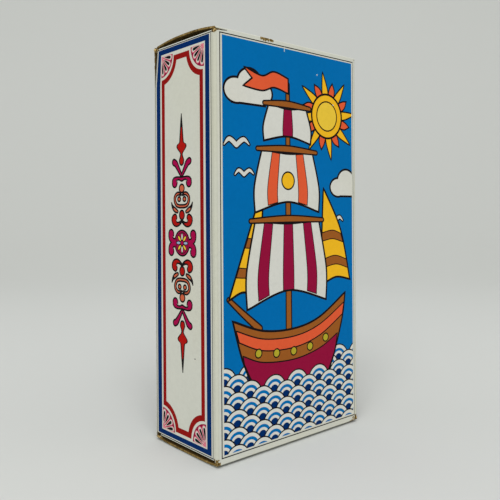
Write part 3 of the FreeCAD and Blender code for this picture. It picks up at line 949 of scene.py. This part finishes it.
fold_cuts = []
for k in range(FOLD_STEPS):
    for u in (FOLD - FOLD_RUN * k / FOLD_STEPS, CASE_WIDTH - FOLD + FOLD_RUN * k / FOLD_STEPS):
        fold_cuts.append(((u, -PAST), (u, PRINT_HEAD)))
back_cuts = [cut for cut in fold_cuts if cut[0][0] > CASE_WIDTH / 2]
blank_left = FOLD - FOLD_RUN
blank_right = CASE_WIDTH - FOLD + FOLD_RUN

# The front's top left corner is worn down, and the crease beside it is torn open for a short way.
TORN_END = 5.6
panel_low, panel_high = in_mm(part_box("front_panel"))
front_foot = panel_low[2] - PRINT_FOOT
front_head = panel_high[2] - PRINT_FOOT
front_outline = [Vector(spot) for spot in (
    (blank_left, front_foot),
    (blank_right, front_foot),
    (blank_right, front_head),
    (TORN_END, front_head),
    (1.3, front_head - 0.4),
    (0.5, front_head - 0.6),
    (blank_left, front_head - 1.3),
)]
# Handling marks on the front alone: a nick through the field's top edge and two chipped specks.
front_marks = [
    (PAPER, oblong(33.25, 148.3, 33.55, 150.2)),
    (PAPER, oval(51.4, 142.0, 0.34, 0.28)),
    (PAPER, oval(60.8, 131.0, 0.3, 0.34)),
]
printed_board(
    "front_print", "front_panel", front_outline, field_print + front_marks, fold_cuts, front_place, cut_edge
)
panel_low, panel_high = in_mm(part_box("back_panel"))
back_outline = oblong(
    case_high[0] - panel_high[0], panel_low[2] - PRINT_FOOT, blank_right, panel_high[2] - PRINT_FOOT
)
# The back's cut edges take the inner board's painted shade, which darkens the torn fold's edge in its gap.
printed_board("back_print", "back_panel", back_outline, field_print, back_cuts, back_place, inner_board_painted_shade)


# Frayed corners. Where the corners have been knocked, the board's layers have come apart into brown
# lumps and loose fibres.
# Middle and half size of each lump in millimetres, and its number of fibres.
FRAYS = [
    ((-36.9, -18.9, 151.2), (0.75, 0.75, 0.6), 16),
    ((-35.7, -19.0, 151.75), (0.9, 0.4, 0.22), 10),
    ((-36.8, 18.5, 151.2), (0.8, 1.0, 1.0), 14),
    ((-37.0, -18.9, 1.5), (0.45, 0.45, 0.4), 8),
    ((36.8, -18.95, 1.05), (0.8, 0.58, 0.62), 10),
    ((37.0, 18.9, 151.9), (0.45, 0.5, 0.35), 8),
    ((-37.0, 17.6, 1.0), (0.42, 1.9, 0.4), 8),
]
# How deep the coarse and the fine bumps of a lump are, and how close together.
COARSE_BUMPS, COARSE_CELLS = 0.45, 2.3
FINE_BUMPS, FINE_CELLS = 0.25, 6.0
FIBRE_SIDES = 5
FIBRE_ROOT, FIBRE_TIP = 0.09, 0.02
FIBRE_SHORT, FIBRE_LONG = 0.5, 1.0
FIBRE_BEND = 0.6
chance = random.Random(11)
fray = bmesh.new()
for middle, size, fibre_count in FRAYS:
    middle = Vector(middle)
    for spot in bmesh.ops.create_icosphere(fray, subdivisions=3, radius=1.0)["verts"]:
        coarse = COARSE_BUMPS * noise_at(spot.co * COARSE_CELLS + middle)
        fine = FINE_BUMPS * noise_at(spot.co * FINE_CELLS + middle)
        spot.co = middle + Vector([co * half * (1.0 + coarse + fine) for co, half in zip(spot.co, size)])
    for _ in range(fibre_count):
        way = Vector([chance.uniform(-1, 1) for _ in range(3)]).normalized()
        length = chance.uniform(FIBRE_SHORT, FIBRE_LONG)
        root = middle + Vector([part * half for part, half in zip(way, size)])
        lie = Matrix.Translation(root) @ way.to_track_quat("Z", "Y").to_matrix().to_4x4()
        fibre = bmesh.ops.create_cone(
            fray, segments=FIBRE_SIDES, radius1=FIBRE_ROOT, radius2=FIBRE_TIP, depth=length, matrix=lie
        )["verts"]
        bent = Matrix.Rotation(chance.uniform(-FIBRE_BEND, FIBRE_BEND), 3, way.orthogonal())
        bmesh.ops.rotate(fray, verts=fibre[FIBRE_SIDES:], cent=root, matrix=bent)
for spot in fray.verts:
    spot.co = Vector([min(max(co, low), high) for co, low, high in zip(spot.co, case_low, case_high)]) * MM
for face in fray.faces:
    face.smooth = True
LOOSE_PALE = seen(200, 172, 116)
LOOSE_CELLS = 1500.0
loose_pulp, loose_shader = new_material("loose_pulp", 0.9, 0.05)
loose_tree = loose_pulp.node_tree
loose_spots = noise(loose_tree, node(loose_tree, "ShaderNodeTexCoord", {})["Object"], LOOSE_CELLS, 3.0)
loose_colour = mixed(loose_tree, between(loose_tree, loose_spots, 0.38, 0.6), PULP_DARK, LOOSE_PALE)
loose_tree.links.new(loose_colour, loose_shader.inputs["Base Color"])
frayed_corners = new_piece("frayed_corners", fray, loose_pulp)
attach(frayed_corners, "sleeve")


# Lids, tuck flaps, dust flaps and the glue flap. All are tongues of the same board as the sleeve, white
# on the side that was printed, brown at every cut edge and brown on the inner side, darkened there with
# painted shade.
UP, DOWN = (0, 0, 1), (0, 0, -1)
FRONT, BACK = (0, -1, 0), (0, 1, 0)
LEFT, RIGHT = (-1, 0, 0), (1, 0, 0)
EDGE_LEAN, FACE_LEAN = 0.3, 0.42


def board_skin(name, outer_ways):
    """The board's finish for a flap, with the liner where its surface faces one of the outer ways, and
    painted shade on the pulp where it faces away from them.
    """
    material, shader = new_material(name, 0.5, 0.06)
    tree = material.node_tree
    faces_way = node(tree, "ShaderNodeTexCoord", {})["Normal"]
    liner_side, inner_side = 0.0, 0.0
    for way in outer_ways:
        towards = node(tree, "ShaderNodeVectorMath", {0: faces_way, 1: way}, operation="DOT_PRODUCT")["Value"]
        liner_side = figure(tree, "MAXIMUM", liner_side, towards)
        inner_side = figure(tree, "MINIMUM", inner_side, towards)
    raw = between(tree, liner_side, FACE_LEAN, EDGE_LEAN)
    # Faces turned away from the outer ways take the pulp's painted shade.
    finish_board(material, shader, PAPER, raw, between(tree, inner_side, -EDGE_LEAN, -FACE_LEAN))
    return material


def dress(node_name, material):
    """A CAD piece with a material in place of its own."""
    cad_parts[node_name].data.materials.clear()
    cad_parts[node_name].data.materials.append(material)


for node_name, outer_ways in (
    ("top_lid", (UP, FRONT)),
    ("bottom_lid", (DOWN, FRONT)),
    ("top_tuck_flap", (UP, BACK)),
    ("bottom_tuck_flap", (DOWN, BACK)),
    ("top_left_dust_flap", (UP, LEFT)),
    ("top_right_dust_flap", (UP, RIGHT)),
    ("bottom_left_dust_flap", (DOWN, LEFT)),
    ("bottom_right_dust_flap", (DOWN, RIGHT)),
    ("glue_flap", (RIGHT, BACK)),
):
    dress(node_name, board_skin(node_name + "_board", outer_ways))


# Glue film. A thin coat spread on the glue flap, pressed against the back panel and dried to a dull
# amber.
GLUE_PALE = seen(186, 160, 98)
GLUE_DARK = seen(150, 118, 58)
GLUE_CELLS = 220.0
dried_glue, glue_shader = new_material("dried_glue", 0.35, 0.4)
glue_tree = dried_glue.node_tree
glue_spots = noise(glue_tree, node(glue_tree, "ShaderNodeTexCoord", {})["Object"], GLUE_CELLS, 3.0)
glue_colour = mixed(glue_tree, between(glue_tree, glue_spots, 0.35, 0.7), GLUE_PALE, GLUE_DARK)
glue_tree.links.new(glue_colour, glue_shader.inputs["Base Color"])
dress("seam_glue", dried_glue)


# Creases. At each hinge the liner runs unbroken round the fold, from the panel on to its flap.
SKIN = 0.03
SKIN_THICKNESS = 0.6 * SKIN
SKIN_RUN = 1.2
DUST_RUN = 0.62
SUNK = 0.035
CREASE_LINE = 0.35
PAST_LINE = 0.1
ROUND_STEPS = 8


def crease(name, axis_at, half_length, out, on, turn, run, line_ink):
    """The liner over one fold. It lies on the panel's outer face, turns about the crease's axis and runs
    on along the flap. Out is the panel's outer way and on is the way from the panel to the fold."""
    axis_at, out, on = Vector(axis_at) * MM, Vector(out).normalized(), Vector(on).normalized()
    along = out.cross(on)
    radius = (BOARD / 2 + SKIN) * MM
    skin = bmesh.new()
    ink_layer = skin.loops.layers.float_color.new("ink")
    start = axis_at + out * (radius - SUNK * MM) - on * run * MM
    ends = [skin.verts.new(start + along * half_length * MM * hand) for hand in (-1, 1)]
    edges = [skin.edges.new(ends)]
    rows = []
    for step in (run - CREASE_LINE - PAST_LINE, CREASE_LINE, PAST_LINE):
        edges = drawn_out(skin, edges, (on * step + out * SUNK * step / run) * MM)
        rows.append(edges[0].link_faces[0])
    round_fold = bmesh.ops.spin(
        skin,
        geom=edges + [end for edge in edges for end in edge.verts],
        cent=axis_at,
        axis=along,
        angle=math.radians(turn),
        steps=ROUND_STEPS,
    )
    flap_way = Matrix.Rotation(math.radians(turn), 3, along) @ on
    flap_out = Matrix.Rotation(math.radians(turn), 3, along) @ out
    flap_step = flap_way * SKIN_RUN * MM - flap_out * SUNK * MM
    drawn_out(skin, of_kind(round_fold["geom_last"], bmesh.types.BMEdge), flap_step)
    bmesh.ops.recalc_face_normals(skin, faces=skin.faces)
    skin.faces.ensure_lookup_table()
    if skin.faces[0].normal.dot(out) < 0:
        bmesh.ops.reverse_faces(skin, faces=skin.faces)
    for face in skin.faces:
        face.smooth = True
        for corner in face.loops:
            corner[ink_layer] = line_ink if face == rows[1] else PAPER
    for edge in skin.edges:
        edge.smooth = not edge.is_boundary
    piece = new_piece(name, skin, printed_liner)
    liner = piece.modifiers.new("liner", "SOLIDIFY")
    liner.thickness = SKIN_THICKNESS * MM
    liner.offset = -1.0
    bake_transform(piece)


# Hinge axes and half lengths of the creases in millimetres. The top lid's crease is torn at its left end.
LID_AXIS_Y = -19.15
TUCK_AXIS_Y = 18.05
DUST_AXIS_X = 37.15
DUST_MIDDLE_Y = -1.07
DUST_HALF = 16.6
LID_HALF = 36.3
TUCK_HALF = 35.4
TUCK_LEAN = 18.0
for end, up, bow, torn in (("top", 1, 8.0, 4.3), ("bottom", -1, 2.0, 0.0)):
    lid_low, lid_high = in_mm(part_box(end + "_lid"))
    dust_low, dust_high = in_mm(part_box(end + "_left_dust_flap"))
    lid_axis_z = lid_low[2] + BOARD / 2 if up > 0 else lid_high[2] - BOARD / 2
    dust_axis_z = (dust_low[2] + dust_high[2]) / 2
    crease(
        end + "_lid_crease", (torn / 2, LID_AXIS_Y, lid_axis_z),
        LID_HALF - torn / 2, FRONT, (0, 0, up), 90 - bow, SKIN_RUN, PAPER,
    )
    slope = math.radians(bow)
    lid_out = (0, math.sin(slope), up * math.cos(slope))
    lid_on = (0, math.cos(slope), -up * math.sin(slope))
    crease(
        end + "_tuck_crease", (0, TUCK_AXIS_Y, lid_axis_z), TUCK_HALF,
        lid_out, lid_on, 90 + TUCK_LEAN - bow, SKIN_RUN, PAPER,
    )
    for hand, side in (("left", -1), ("right", 1)):
        crease(
            f"{end}_{hand}_dust_crease",
            (side * DUST_AXIS_X, DUST_MIDDLE_Y, dust_axis_z), DUST_HALF,
            (side, 0, 0), (0, 0, up), 90, DUST_RUN, GREY_LINE,
        )
